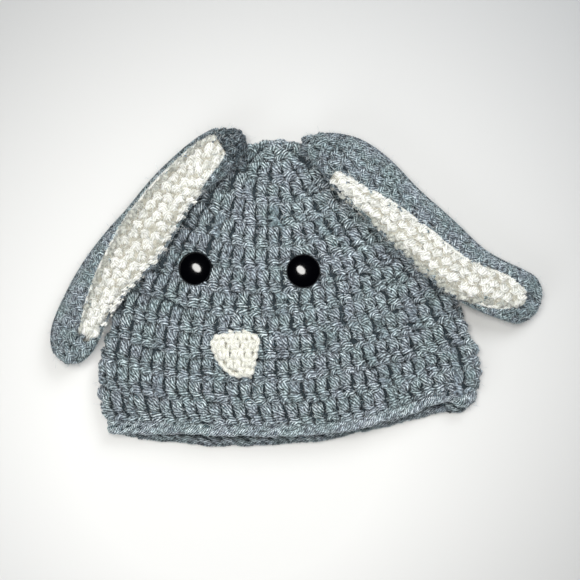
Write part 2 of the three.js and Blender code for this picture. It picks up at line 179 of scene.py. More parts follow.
def evenLoop(loop, count):  # points spaced evenly round a closed loop, from its first one
    closed = np.concatenate([loop, loop[:1]])
    along = np.concatenate([[0], np.cumsum(np.linalg.norm(np.diff(closed[:, :3], axis=0), axis=1))])
    wanted = np.linspace(0, along[-1], count, endpoint=False)
    return np.stack([np.interp(wanted, along, closed[:, k]) for k in range(closed.shape[1])], 1)


# The ears. A row is along, heading in degrees, width, panel from, panel to, how deep the panel is set in
ears = {
    "length": 140, "width": 31, "thickness": 8.5, "gap": 0.35, "proud": 1.6, "curl": 2.6, "curlReach": 9,
    "drape": 46, "endShare": 0.35, "leastPanel": 0.35, "leastEdge": 0.05, "edge": 0.03, "wrapFrom": 0.9,
    "hem": 1.2, "tuckedUnder": 2.2,  # how far the panel goes over the edge, and the grey goes under it
    "press": 3.8, "pressReach": 4.0, "pressFrom": 12,  # the dent of an ear's edge in the hat
    # darkRows: how many rows at an ear's root get painted shade
    "darkRows": 6, "liningOuter": -1.8, "liningInner": -3.0, "fibres": 1900, "panelFibres": 900,
    # shade: panel stitches painted greyer, as painted shade, up to this share across, and by how much
    # dark: the painted shadow beside the ear on the hat's stitches, how strong and how many mm wide; its
    # strength also gives the painted shade on the ear's root rows
    "left": {
        "root": (-0.237, -0.005), "lift": 1, "turn": 1, "shoulders": (11, 5),
        "shade": (0.34, 0.8), "dark": (1.9, 5),
        "rows": [
            (0.0, 203, 0.3, 0.28, 0.5, 0), (0.05, 209, 0.58, 0.2, 0.55, 0),
            (0.12, 214, 0.68, 0.13, 0.72, 1), (0.25, 225, 0.69, 0.1, 0.92, 1),
            (0.41, 236, 0.78, 0.06, 0.95, 1), (0.53, 229, 0.86, 0.15, 0.95, 1),
            (0.64, 230, 0.82, 0.3, 0.95, 1), (0.78, 242, 0.75, 0.5, 0.95, 1),
            (0.85, 246, 0.75, 0.6, 0.92, 1), (0.91, 249, 0.71, 0.63, 0.84, 0),
            (0.96, 250, 0.54, 0.5, 0.75, 0), (1.0, 250, 0.2, 0.4, 0.6, 0),
        ],
    },
    "right": {
        "root": (0.063, 0.008), "lift": 3, "turn": -1, "shoulders": (5, 8),
        "shade": (-0.3, 0.9), "dark": (0.9, 3),
        "rows": [
            (0.0, -16, 0.16, 0.6, 0.85, 0), (0.07, -24, 0.48, 0.68, 0.92, 0),
            (0.13, -31, 0.71, 0.8, 0.95, 0), (0.18, -36, 0.83, 0.77, 0.95, 1),
            (0.27, -43, 0.88, 0.67, 0.96, 1), (0.39, -45, 0.85, 0.5, 0.96, 1),
            (0.51, -42, 0.88, 0.42, 0.96, 1), (0.63, -43, 0.88, 0.38, 0.93, 1),
            (0.7, -37, 0.86, 0.33, 0.92, 1), (0.77, -27, 0.84, 0.28, 0.9, 1),
            (0.85, -22, 0.81, 0.24, 0.84, 1), (0.91, -22, 0.78, 0.32, 0.7, 0.7),
            (0.95, -24, 0.7, 0.38, 0.55, 0), (1.0, -26, 0.26, 0.4, 0.6, 0),
        ],
    },
}


def earSection(side, fine, heading, spine, shares, isTop):
    # Points across an ear, a row of them for each place on its spine. Past its edges they go on underneath.
    isTop = isTop & (shares >= 0) & (shares <= 1)
    shares = 1 - np.abs(1 - np.abs(shares))
    turned = heading + ears[side]["turn"] * np.pi / 2
    width = (fine[:, 2] * ears["width"])[:, None]
    offset = (shares - 0.5) * width
    x = spine[:, :1] + np.cos(turned)[:, None] * offset
    y = spine[:, 1:] + np.sin(turned)[:, None] * offset
    inset = insideOutline(foldLine, x, y, False)
    over = faceHeight(np.maximum(inset, foldRadius), y) + ears["gap"]
    lift = ears[side]["lift"]
    fall = np.clip((foldRadius - inset) / ears["drape"], 0, 1)
    seat = lift + (over - lift) * (0.5 + 0.5 * np.cos(np.pi * fall))
    half = ears["thickness"] / 2
    fromEnd = (np.minimum(fine[:, 0], 1 - fine[:, 0]) * ears["length"])[:, None]
    fromEdge = np.minimum(shares, 1 - shares) * width
    shoulder = np.where(isTop, np.where(shares < 0.5, *ears[side]["shoulders"]), half)
    least = ears["endShare"]
    full = quarterRound(fromEdge / shoulder) * (least + (1 - least) * quarterRound(fromEnd / half))
    panelFrom, panelTo, panel = (fine[:, k][:, None] for k in (3, 4, 5))
    curl = ears["curl"] * np.sin(np.pi * np.clip(shares / panelFrom, 0, 1))
    curl = curl * smooth(panelFrom * width / ears["curlReach"]) * smooth(fromEnd / ears["curlReach"])
    inPanel = np.clip((shares - panelFrom) / (panelTo - panelFrom), 0, 1)
    proud = ears["proud"] * panel * np.sin(np.pi * inPanel)
    z = seat + half + np.where(isTop, half * full + curl + proud, -half * full)
    return np.stack([x, y, z], 2)


def earCloths(side, rowCount=100, columnCount=160):
    ear = ears[side]
    finer, topCount = 8, 40  # steps of the spine for each row kept, and points across the top
    steps = finer * (rowCount - 1)
    fine = readRows(ear["rows"], np.linspace(0, 1, steps + 1))
    heading = np.radians(fine[:, 1])
    stride = np.stack([np.cos(heading), np.sin(heading)], 1) * ears["length"] / steps
    spine = np.array(placeOnHat(*ear["root"])) + np.concatenate([[[0, 0]], np.cumsum(stride[:-1], 0)])
    fine, heading, spine = fine[::finer], heading[::finer], spine[::finer]
    t = (1 - np.cos(np.linspace(0, np.pi, topCount))) / 2
    shares = np.concatenate([t[:-1], t[:0:-1]])[None]
    isTop = np.arange(shares.size)[None] < topCount - 1
    loops = earSection(side, fine, heading, spine, shares, isTop)
    margin = ears["tuckedUnder"] / (fine[:, 2:3] * ears["width"])
    held = fine[:, 5] > ears["leastPanel"]
    hem = ears["hem"] / (fine[:, 2:3] * ears["width"])
    near = np.maximum(fine[:, 3:4] - ears["edge"], ears["leastEdge"])
    far = np.where(fine[:, 4:5] > ears["wrapFrom"], 1 + hem, fine[:, 4:5] + ears["edge"])
    roundShare = np.where(isTop, shares, 2 - shares)
    covered = held[:, None] & (roundShare > near + margin) & (roundShare < far - margin)
    grid = np.concatenate([loops, covered[..., None].astype(float)], 2)
    even = np.stack([evenLoop(loop, columnCount) for loop in grid])
    whole = Cloth(even[..., :3], flip=ear["turn"], marks=even[..., 3:])
    across = near[held] + (far - near)[held] * np.linspace(0, 1, topCount)[None]
    panel = earSection(side, fine[held], heading[held], spine[held], across, True)
    return whole, Cloth(panel, closed=False, flip=ear["turn"])


def earOutline(surface):  # an ear's outline seen from above
    rows = surface.points[::3, :, :2]
    return np.concatenate([rows[:, 0], rows[::-1, rows.shape[1] // 2]])


def hatCloth(rowCount=150, columnCount=640):
    downs = np.linspace(hatBody["start"], 1, rowCount)[:, None]
    t = (1 - np.cos(np.linspace(0, np.pi, 90)))[None, :] / 2
    (leftX, leftY), (rightX, rightY) = foldPoint("left", downs), foldPoint("right", downs)
    crease, layers = hatBody["crease"], []
    for isFront in (True, False):
        reach = hatBody["length"] - hatBody["rimYarn"] + (0 if isFront else hatBody["backRimDrop"])
        bow = np.sin(np.pi * t ** (1 - hatBody["rimSkew"] * downs))
        x = leftX + (rightX - leftX) * t
        y = leftY + (rightY - leftY) * t + (crownY - downs * reach - (leftY + rightY) / 2) * bow
        z = hatHeight(isFront, x, y)
        low = smooth(1 - (1 - downs) * hatBody["length"] / crease["high"])
        across = (x - crease["x"]) / crease["wide"]
        folded = np.clip((x - crease["x"]) / (rightX - crease["x"]), 0, 1) * (x > crease["x"])
        y = y - crease["hang"] * low ** 2 * np.sin(np.pi * folded ** crease["skew"])
        for liftX, reachX, onFace, onBack in hatBody["rimLifts"]:
            y = y + (onFace if isFront else onBack) * low ** 2 * np.exp(-((x - liftX) / reachX) ** 2)
        if isFront:
            z = z - crease["deep"] * low * np.exp(-across ** 2)
            inset = insideOutline(foldLine, x, y, False)
            soft = ears["press"] * smooth((inset - foldRadius) / ears["pressFrom"])
            for whole, _ in earSurfaces.values():  # the ears' edges press into the hat
                away = insideOutline(earOutline(whole), x, y)
                z = z - soft * np.exp(-(away / ears["pressReach"]) ** 2)
        z[:, [0, -1]] = foldRadius
        layer = np.stack([x, y, z], 2)
        layers.append(layer[:, :-1] if isFront else layer[:, :0:-1])
    loops = np.concatenate(layers, 1)
    isFace = np.repeat([1.0, 0.0], [layer.shape[1] for layer in layers])
    marked = np.concatenate([loops, np.broadcast_to(isFace[None, :, None], loops.shape[:2] + (1,))], 2)
    even = np.stack([evenLoop(loop, columnCount) for loop in marked])
    return Cloth(even[..., :3], marks=even[..., 3:])


print("surfaces of the ears and the hat")
earSurfaces = {side: earCloths(side) for side in ("left", "right")}
hatSurface = hatCloth()


def linear(code):  # sRGB hex to the linear colour that Blender wants
    parts = [int(code[i:i + 2], 16) / 255 for i in (1, 3, 5)]
    return tuple(c / 12.92 if c <= 0.04045 else ((c + 0.055) / 1.055) ** 2.4 for c in parts) + (1,)


def addNode(tree, kind, values=None):  # a value is a setting of the node, or a number or link for a socket
    node = tree.nodes.new(kind)
    for key, value in (values or {}).items():
        if isinstance(key, str) and hasattr(node, key):
            setattr(node, key, value)
        elif isinstance(value, bpy.types.NodeSocket):
            tree.links.new(value, node.inputs[key])
        else:
            node.inputs[key].default_value = value
    return node


def newMaterial(name, values):
    material = bpy.data.materials.new(name)
    material.use_nodes = True
    tree = material.node_tree
    shader = tree.nodes["Principled BSDF"]
    for key, value in values.items():
        shader.inputs[key].default_value = value
    return material, tree, shader, addNode(tree, "ShaderNodeTexCoord").outputs["Object"]


def addObject(name, data):
    thing = bpy.data.objects.new(name, data)
    bpy.context.scene.collection.objects.link(thing)
    return thing


dyes = {"mauve": "#c9bcd0", "seaGreen": "#b6cbc2"}


def acrylicYarn(name, look):
    # Spun acrylic worsted: matte with a faint silky sheen along each ply. Its colour holds painted light: a
    # painted highlight on each ply's crest and painted shade where plies meet
    material, tree, shader, where = newMaterial(name, {
        "Roughness": look["roughness"], "Specular IOR Level": 0.35,
        "Sheen Weight": look["sheen"], "Sheen Roughness": 0.45})
    crest, tone, depth = (
        addNode(tree, "ShaderNodeAttribute", {"attribute_name": key}).outputs["Fac"]
        for key in ("plyCrest", "stitchTone", "stitchDepthShade"))
    # 2 mm flecks of lighter and darker fibre, single fibres drawn 0.4 mm wide so that they show, and the
    # dye, which wanders between mauve and sea green every centimetre or two
    fleck, fibres, wander = (
        addNode(tree, "ShaderNodeTexNoise", {
            "Scale": scale, "Detail": detail, "Roughness": roughness, "Vector": where}).outputs["Fac"]
        for scale, detail, roughness in ((620, 4, 0.7), (2500, 4, 0.5), (95, 2, 0.5)))
    heather, side = (
        addNode(tree, "ShaderNodeMapRange", {
            "From Min": low, "From Max": high, "Value": noise}).outputs["Result"]
        for low, high, noise in ((0.36, 0.64, fleck), (0.38, 0.62, wander)))
    # Each ply is itself two fine yarns, 1 mm apart along the yarn: a second, finer stripe across the ply,
    # painted as a dark groove between them and a painted highlight on each
    phase = addNode(tree, "ShaderNodeMath", {"operation": "MULTIPLY", 0: fleck, 1: 3}).outputs[0]
    swing = addNode(tree, "ShaderNodeMath", {
        "operation": "MULTIPLY_ADD", 0: crest, 1: 2 * np.pi, 2: phase}).outputs[0]
    wave = addNode(tree, "ShaderNodeMath", {"operation": "COSINE", 0: swing}).outputs[0]
    stripe = addNode(tree, "ShaderNodeMapRange", {"From Min": -1, "Value": wave}).outputs["Result"]
    rise = addNode(tree, "ShaderNodeMix", {
        "data_type": "FLOAT", 0: look["stripes"], 2: crest, 3: stripe}).outputs[0]
    sharper = addNode(tree, "ShaderNodeMath", {
        "operation": "POWER", 0: rise, 1: look["contrast"]}).outputs[0]
    dye = addNode(tree, "ShaderNodeMix", {
        "data_type": "RGBA", 0: side, 6: linear(dyes["mauve"]), 7: linear(dyes["seaGreen"])}).outputs[2]
    colour = linear(look["valley"])
    # The valley's painted shade is mixed up to the crest's painted highlight. The stitch tone mixes in the
    # tint, at random and, on the ear panels, as painted shade. Then come heather, dye and the painted depth
    # shade
    for blend, amount, other in (
            ("MIX", sharper, linear(look["crest"])), ("MIX", tone, linear(look["tint"])),
            ("OVERLAY", look["heather"], heather), ("SOFT_LIGHT", look["dye"], dye),
            # painted shade: yarn that lies deep in a stitch is painted darker still, as shade would fall
            # there
            ("MULTIPLY", depth, linear(look["deep"]))):
        colour = addNode(tree, "ShaderNodeMix", {
            "data_type": "RGBA", "blend_type": blend, 0: amount, 6: colour, 7: other}).outputs[2]
    bump = addNode(tree, "ShaderNodeBump", {"Strength": 0.6, "Distance": 0.0002, "Height": fibres})
    tree.links.new(colour, shader.inputs["Base Color"])
    tree.links.new(bump.outputs["Normal"], shader.inputs["Normal"])
    return material


# valley: painted shade between plies; crest: painted highlight on them; tint: what the stitch tone mixes in;
# deep: painted shade deep in a stitch
greyYarn = acrylicYarn("acrylicWorstedBlueGrey", {
    "valley": "#1f2b30", "crest": "#ccd7da", "tint": "#66747a", "contrast": 1.4, "stripes": 0.33,
    "deep": "#5b656a", "dye": 0.3, "heather": 0.9, "roughness": 0.65, "sheen": 0.15})
brushedYarn = acrylicYarn("acrylicWorstedBrushedBlueGrey", {
    "valley": "#27343a", "crest": "#c0cccf", "tint": "#59676c", "contrast": 1.3, "stripes": 0.5,
    "deep": "#586268", "dye": 0.3, "heather": 0.9, "roughness": 0.8, "sheen": 0.15})
whiteYarn = acrylicYarn("acrylicWorstedCream", {
    "valley": "#c4c2b8", "crest": "#fffffb", "tint": "#a4a59c", "contrast": 1.0, "stripes": 0.25,
    "deep": "#63655f", "dye": 0.0, "heather": 0.4, "roughness": 0.75, "sheen": 0.1})
brightYarn = acrylicYarn("acrylicWorstedWhite", {
    "valley": "#c6c4b8", "crest": "#f0f0e8", "tint": "#e3e2d8", "contrast": 1.0, "stripes": 0.4,
    "deep": "#e2e2dc", "dye": 0.0, "heather": 0.25, "roughness": 0.75, "sheen": 0.1})
# Painted shade: the yarn seen between stitches, coloured as it looks in shade, dark at the valley and
# beige-grey at the crest
paintedShadeYarn = acrylicYarn("acrylicWorstedPaintedShadeBehindStitches", {
    "valley": "#2e383d", "crest": "#a9a699", "tint": "#a9a699", "contrast": 1.0, "stripes": 0.0,
    "deep": "#ffffff", "dye": 0.0, "heather": 0.3, "roughness": 0.85, "sheen": 0.0})


tableGap = 0.02


def tubeQuads(index):  # faces between the rings of a grid of vertices: (..., rings, round)
    a, b = index[..., :-1, :], index[..., 1:, :]
    return np.stack([a, b, np.roll(b, -1, -1), np.roll(a, -1, -1)], -1).reshape(-1, 4)


def makePiece(name, verts, faceSets, material, values=None, creased=None):
    verts = np.array(verts, float)
    verts[:, 2] = np.maximum(verts[:, 2], tableGap)  # pressed flat where it lies on the table
    mesh = bpy.data.meshes.new(name)
    mesh.vertices.add(len(verts))
    mesh.vertices.foreach_set("co", (verts * mm).astype(np.float32).ravel())
    loops = np.concatenate([faces.ravel() for faces in faceSets]).astype(np.int32)
    sizes = np.concatenate([np.full(len(faces), faces.shape[1]) for faces in faceSets])
    mesh.loops.add(len(loops))
    mesh.loops.foreach_set("vertex_index", loops)
    mesh.polygons.add(len(sizes))
    mesh.polygons.foreach_set("loop_start", np.concatenate([[0], np.cumsum(sizes)[:-1]]).astype(np.int32))
    mesh.polygons.foreach_set("use_smooth", np.ones(len(sizes), bool))
    for key, data in (values or {}).items():
        mesh.attributes.new(key, "FLOAT", "POINT").data.foreach_set("value", np.asarray(data, np.float32))
    mesh.update(calc_edges=True)
    if creased is not None:  # the valleys between plies stay sharp, so that each ply looks round
        pairs = np.empty(len(mesh.edges) * 2, np.int32)
        mesh.edges.foreach_get("vertices", pairs)
        sharp = creased[pairs.reshape(-1, 2)].all(1)
        mesh.attributes.new("sharp_edge", "BOOLEAN", "EDGE").data.foreach_set("value", sharp)
    mesh.materials.append(material)
    piece = addObject(name, mesh)
    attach(piece, "root")
    return piece


def curveThrough(knots, count):  # knots (..., k, 3) to (..., count, 3) on a smooth curve
    knots = np.asarray(knots, float)
    last = knots.shape[-2] - 1
    t = np.linspace(0, last, count)
    i = np.minimum(t.astype(int), last - 1)
    u = (t - i)[:, None]
    p0, p1 = knots[..., np.maximum(i - 1, 0), :], knots[..., i, :]
    p2, p3 = knots[..., i + 1, :], knots[..., np.minimum(i + 2, last), :]
    bend, twist = 2 * p0 - 5 * p1 + 4 * p2 - p3, 3 * p1 - p0 - 3 * p2 + p3
    return 0.5 * (2 * p1 + u * (p2 - p0 + u * (bend + u * twist)))


# Worsted yarn, 2.9 mm thick: 5 plies turned to the left, one turn in 7.6 mm. For the painted shade deep in a
# stitch: what stands out more than lit (mm) gets none of it, and what lies sunk (mm) below that gets it in
# full.
yarn = {
    "radius": 1.45, "valley": 1.08, "lay": 7.6, "plies": 5, "endShare": 0.6, "lit": 0.9, "sunk": 2.6,
    "roundness": 0.7, "toneSpread": 0.12, "strandSpread": 0.08, "strandWobble": 0.6,
}


class Skein:  # lengths of plied yarn that become one piece
    def __init__(self):
        self.verts, self.quads, self.caps, self.crest, self.tone, self.depth = [], [], [], [], [], []
        self.count = 0

    def add(self, paths, normals, tones, scale, out):  # out: how far each point stands out of the stitch
        n, k = paths.shape[:2]
        sides = 2 * yarn["plies"]
        along = unit(np.gradient(paths, axis=1))
        side = unit(np.cross(along, normals))
        up = np.cross(side, along)
        steps = np.linalg.norm(np.diff(paths, axis=1), axis=2)
        length = np.concatenate([np.zeros((n, 1)), np.cumsum(steps, 1)], 1)
        turn = rng.uniform(0, 2 * np.pi, (n, 1)) + 2 * np.pi * length / (yarn["lay"] * scale)
        angle = turn[..., None] + np.arange(sides) * 2 * np.pi / sides
        crest = np.tile([1.0, 0.0], yarn["plies"])
        reach = np.where(crest > 0, yarn["radius"], yarn["valley"]) * scale
        ends = np.ones(k)
        ends[[0, -1]] = yarn["endShare"]
        reach = reach[None, None] * ends[None, :, None]
        # the angle grows along the yarn, which lays the plies to the left
        rise, aside = (np.cos(angle) * reach)[..., None], (np.sin(angle) * reach)[..., None]
        ring = rise * up[:, :, None] - aside * side[:, :, None]
        first = self.count + np.arange(n * k * sides).reshape(n, k, sides)
        self.verts.append((paths[:, :, None] + ring).reshape(-1, 3))
        self.quads.append(tubeQuads(first))
        self.caps.append(np.concatenate([first[:, 0], first[:, -1, ::-1]]))
        self.crest.append(np.broadcast_to(crest, (n, k, sides)).ravel())
        self.tone.append(np.broadcast_to(tones[:, None, None], (n, k, sides)).ravel())
        # painted shade: the deeper a point lies, and the more a ply's side faces down into the stitch, the
        # darker it is painted
        level = out[..., None] + yarn["roundness"] * np.cos(angle)
        self.depth.append(smooth((yarn["lit"] - level) / yarn["sunk"]).ravel())
        self.count += n * k * sides

    def piece(self, name, material, slot):
        crest = np.concatenate(self.crest)
        faceSets = [np.concatenate(self.quads), np.concatenate(self.caps)]
        values = {"plyCrest": crest, "stitchTone": np.concatenate(self.tone),
                  "stitchDepthShade": np.concatenate(self.depth)}
        print(name, len(faceSets[0]) * 2 + len(faceSets[1]) * 6, "triangles")
        return makePiece(name, np.concatenate(self.verts), faceSets, material, values, crest < 0.5)


def stitchRow(row, count, shift=0.0):  # of each stitch in a row: the row, its share across and the count
    shares = (np.arange(count) + 0.5 + shift) / count
    return np.stack([np.zeros(count) + row, shares, np.full(count, count)], 1)


def stitchPlaces(surface, rows, width, shift=0.37, least=4):
    places = []
    for row in range(int(rows)):
        count = max(int(round(surface.widthAt((row + 0.5) / rows) / width)), least)
        places.append(stitchRow(row, count, (shift * row) % 1))
    return np.concatenate(places)


def crochet(skein, surface, places, rows, pattern, sink, points, scale=1.0, facing=1, shade=None, level=0):
    n = len(places)
    row, share, count = places.T
    lean = rng.normal(0, pattern["wobble"], (n, 2))
    tone = np.clip(rng.normal(pattern["tone"], yarn["toneSpread"], n), 0, 1)
    if shade:  # painted shade: greyer towards one edge, up to this share across, and by how much
        edge = share if shade[0] > 0 else 1 - share
        tone = tone + shade[1] * smooth(pattern["shadeSlope"] * (1 - edge / abs(shade[0])))
    for strand in pattern["strands"]:
        knots = np.array(strand)[None] + np.zeros((n, 1, 1))
        strandWobble = pattern["wobble"] * yarn["strandWobble"]
        knots[..., :2] += lean[:, None] + rng.normal(0, strandWobble, (n, len(strand), 2))
        knots[..., 2] += rng.normal(0, pattern["wobbleOut"], (n, len(strand)))
        path = curveThrough(knots, points)
        s = share[:, None] + path[..., 0] / count[:, None]
        v = (row[:, None] + path[..., 1]) / rows
        where, normals = surface.at(v, s, path[..., 2] * scale * facing + sink)
        shown = np.clip(tone + rng.normal(0, yarn["strandSpread"], n), 0, 1)
        # level moves the painted depth shade: more is lighter, less is darker
        skein.add(where, normals, shown, scale, path[..., 2] + np.reshape(level, (-1, 1)))


# A double crochet seen from outside: a post of two strands, the yarn over across it and the top loop.
# Each knot is across in stitch widths, down in row heights and out in millimetres. Face, back, inside and
# laid each hold how far out of the surface the stitches lie, in mm, and the points along a strand.
doubleCrochet = {
    "rows": 13.38, "crownRows": 8, "insideRows": 3, "width": 6.0, "thick": 1.1, "tone": 0.25,
    "face": (-0.9, 9), "back": (-2.2, 6), "inside": (-3.3, 5), "wobble": 0.055, "wobbleOut": 0.3,
    "strands": [
        [(-0.3, -0.06, -1.4), (-0.28, 0.08, 0.35), (-0.21, 0.22, 0.9), (-0.12, 0.37, 0.2),
         (-0.04, 0.53, -1.6)],
        [(0.08, -0.08, -1.4), (0.12, 0.06, 0.4), (0.13, 0.2, 1.0), (0.11, 0.35, 0.3), (0.07, 0.51, -1.6)],
        [(-0.46, 0.48, -1.7), (-0.26, 0.53, 0.1), (0.0, 0.59, 0.75), (0.22, 0.69, 0.2), (0.34, 0.82, -1.7)],
        [(-0.42, 0.9, -1.7), (-0.22, 0.81, 0.1), (0.02, 0.8, 0.55), (0.26, 0.85, 0.1), (0.46, 0.94, -1.7)],
    ],
}
# The rim's last round: slanted loops side by side, and two yarns along the edge that they turn over
rimRope = {
    # the rim's level, one mm up, only makes its painted depth shade lighter; no yarn stands out further
    "width": 6.0, "face": (-1.3, 10), "back": (-1.9, 10), "inside": (-3.4, 8), "thick": 0.9, "paintedShadeLift": 1,
    "wobble": 0.03, "wobbleOut": 0.1, "tone": 0.15,
    "strands": [
        [(-0.9, -0.04, -1.3), (-0.5, -0.09, 0.0), (0.0, -0.16, 0.6), (0.5, -0.27, 0.3), (0.85, -0.42, -1.5)],
        [(-0.62, -0.07, -0.2), (-0.3, -0.06, 0.1), (0.0, -0.06, 0.2), (0.3, -0.06, 0.1),
         (0.62, -0.07, -0.2)],
        [(-0.62, -0.34, -0.7), (-0.3, -0.33, -0.5), (0.0, -0.34, -0.4), (0.3, -0.33, -0.5),
         (0.62, -0.34, -0.7)],
    ],
}


def makeHatBody():
    rows = doubleCrochet["rows"]
    places = stitchPlaces(hatSurface, rows, doubleCrochet["width"])
    row, share, _ = places.T
    isFace = hatSurface.read(hatSurface.marks, (row + 0.5) / rows, share)[:, 0] > 0.5
    middle = hatSurface.at((row + 0.5) / rows, share, row * 0)[0]
    paintedEarShadow = np.zeros(len(places))  # painted shadow: stitches right beside an ear are painted darker, as in its shade
    for side, (whole, _) in earSurfaces.items():
        depth, reach = ears[side]["dark"]
        away = insideOutline(earOutline(whole), middle[:, 0], middle[:, 1])
        paintedEarShadow -= depth * np.exp(-(away / reach) ** 2) * isFace
    isCrown = row < doubleCrochet["crownRows"]
    groups = [
        ("crownStitches", isFace & isCrown, "face"), ("browStitches", isFace & ~isCrown, "face"),
        ("backStitches", ~isFace, "back"),
    ]
    for name, chosen, layer in groups:
        skein = Skein()
        crochet(skein, hatSurface, places[chosen], rows, doubleCrochet, *doubleCrochet[layer],
                doubleCrochet["thick"], level=paintedEarShadow[chosen])
        skein.piece(name, greyYarn, "grey_yarn")
    inside = Skein()
    lowest = places[row >= int(rows) - doubleCrochet["insideRows"]]
    crochet(inside, hatSurface, lowest, rows, doubleCrochet, *doubleCrochet["inside"], facing=-1)
    inside.piece("insideStitches", greyYarn, "grey_yarn")
    rim = Skein()
    thick, level = rimRope["thick"], rimRope["paintedShadeLift"]
    count = round(hatSurface.widthAt(1) / rimRope["width"])
    edge = stitchRow(rows, count)
    isFace = hatSurface.read(hatSurface.marks, np.ones(count), edge[:, 1])[:, 0] > 0.5
    crochet(rim, hatSurface, edge[isFace], rows, rimRope, *rimRope["face"], thick, level=level)
    crochet(rim, hatSurface, edge[~isFace], rows, rimRope, *rimRope["back"], thick, level=level)
    crochet(rim, hatSurface, edge, rows, rimRope, *rimRope["inside"], thick, facing=-1)
    rim.piece("rimRope", greyYarn, "grey_yarn")


def makeShell(name, surface, outer, inner, crest, rowsKept, columnsKept):
    # Two skins under the stitches, joined at both ends, so that no light comes through between them. They
    # are painted as yarn in shade: dark under grey stitches, beige-grey under white ones
    outside = (surface.points + surface.normals * outer)[rowsKept, columnsKept]
    inside = (surface.points + surface.normals * inner)[rowsKept, columnsKept]
    index = np.arange(outside[..., 0].size).reshape(outside.shape[:2])
    following = np.roll(index, -1, 1)
    skin = tubeQuads(index)
    far = index.size
    rim = np.stack([index[-1], index[-1] + far, following[-1] + far, following[-1]], -1)
    top = np.stack([following[0], following[0] + far, index[0] + far, index[0]], -1)
    quads = np.concatenate([skin, skin[:, ::-1] + far, rim, top])
    verts = np.concatenate([outside.reshape(-1, 3), inside.reshape(-1, 3)])
    crest = np.tile(crest[rowsKept, columnsKept].ravel(), 2)
    return makePiece(name, verts, [quads], paintedShadeYarn, {"plyCrest": crest})


def makePad(name, surface, outer, inner):  # a closed pad under an open patch of stitches, painted beige-grey as yarn in shade
    top = (surface.points + surface.normals * outer)[::2, ::2]
    under = (surface.points + surface.normals * inner)[::2, ::2]
    loops = np.concatenate([top, under[:, ::-1]], 1)
    index = np.arange(loops[..., 0].size).reshape(loops.shape[:2])
    quads = tubeQuads(index)
    ends = np.stack([index[0], index[-1, ::-1]])
    if surface.facing < 0:
        quads, ends = quads[:, ::-1], ends[:, ::-1]
    makePiece(name, loops.reshape(-1, 3), [quads, ends], paintedShadeYarn, {"plyCrest": np.ones(index.size)})


print("hat body")
makeHatBody()
hatLining = {"outer": -1.9, "inner": -2.9}
hatShell = makeShell("hatLining", hatSurface, hatLining["outer"], hatLining["inner"],
                     np.zeros(hatSurface.points.shape[:2]), slice(4, None, 3), slice(None, None, 5))
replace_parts(hatShell, "hat_body")


# A single crochet: two legs that meet at the top, and the loop that joins it to the next
singleCrochet = {
    "height": 5.3, "width": 5.2, "laid": (-1.2, 7), "thick": 1.0,
    "wobble": 0.06, "wobbleOut": 0.3, "tone": 0.25,
    "strands": [
        [(-0.36, 1.06, -1.3), (-0.27, 0.72, 0.1), (-0.16, 0.36, 0.5), (-0.02, 0.02, -0.8)],
        [(0.3, 1.06, -1.3), (0.25, 0.72, 0.1), (0.16, 0.36, 0.55), (0.04, 0.02, -0.8)],
        [(-0.52, 0.1, -1.2), (-0.24, 0.02, 0.1), (0.14, 0.03, 0.25), (0.5, 0.16, -1.2)],
    ],
}
# The panel's stitches stand in columns along the ear: round lumps, each one an arch over the next
panelCrochet = {
    "height": 5.4, "width": 4.9, "laid": (-0.6, 8), "padOver": 0.1, "padUnder": 2.2, "shadeSlope": 1.4,
    "wobble": 0.08, "wobbleOut": 0.4, "tone": 0.1, "thick": 1.02, "narrowest": 0.66,
    "strands": [
        [(-0.5, 1.05, -1.9), (-0.36, 0.55, 0.1), (0.0, 0.22, 0.9), (0.36, 0.5, 0.2), (0.46, 0.95, -1.8)],
        [(-0.2, 1.2, -1.8), (-0.08, 0.8, 0.4), (0.06, 0.55, 0.5), (0.16, 0.2, -1.2)],
    ],
}
# The yarn round the edge of a panel, and the yarn that sews the back together round the ear's edge. Both
# run up one side of a surface and down the other, between rows from and to.
# level moves their painted depth shade: the hem's is lighter, the seam's darker
panelHem = {"thick": 0.72, "lift": -0.25, "level": 1, "tone": 0.2, "from": 0.01, "to": 0.99,
            "sides": (0.03, 0.97), "points": 200, "easing": 4, "closed": True}
earSeam = {"thick": 0.72, "lift": 0.1, "level": -0.7, "tone": 0.3, "from": 0.06, "to": 1,
           "sides": (0, 0.5), "points": 260, "easing": 6, "closed": False}


def sewRound(skein, surface, thread):
    along = np.linspace(thread["from"], thread["to"], thread["points"] // 2)
    turnOf, last = len(along), 1 if thread["closed"] else 0
    v = np.concatenate([along, along[::-1], along[:last]])
    s = np.repeat([*thread["sides"], thread["sides"][0]], [turnOf, turnOf, last])
    path, normals = surface.at(v, s, np.full(len(v), thread["lift"]))
    for _ in range(thread["easing"]):  # round the tip in one bend
        path[turnOf - 3:turnOf + 3] = (path[turnOf - 4:turnOf + 2] + path[turnOf - 2:turnOf + 4]) / 2
    skein.add(path[None], normals[None], np.array([thread["tone"]]), thread["thick"],
              np.full((1, len(v)), float(thread["level"])))


def panelPlaces(surface):  # every other column of stitches starts half a row later
    middle = surface.points[:, surface.points.shape[1] // 2]
    length = np.linalg.norm(np.diff(middle, axis=0), axis=1).sum()
    rows = round(length / panelCrochet["height"])
    widths = surface.widthAt((np.arange(rows) + 0.5) / rows) / panelCrochet["width"]
    most = round(float(np.median(widths)))
    places = []
    for row, width in enumerate(widths):
        count = int(np.clip(round(width / panelCrochet["narrowest"]), 2, most))
        places.append(stitchRow(row + 0.5 * (np.arange(count) % 2) * (row < rows - 1), count))
    return np.concatenate(places), rows


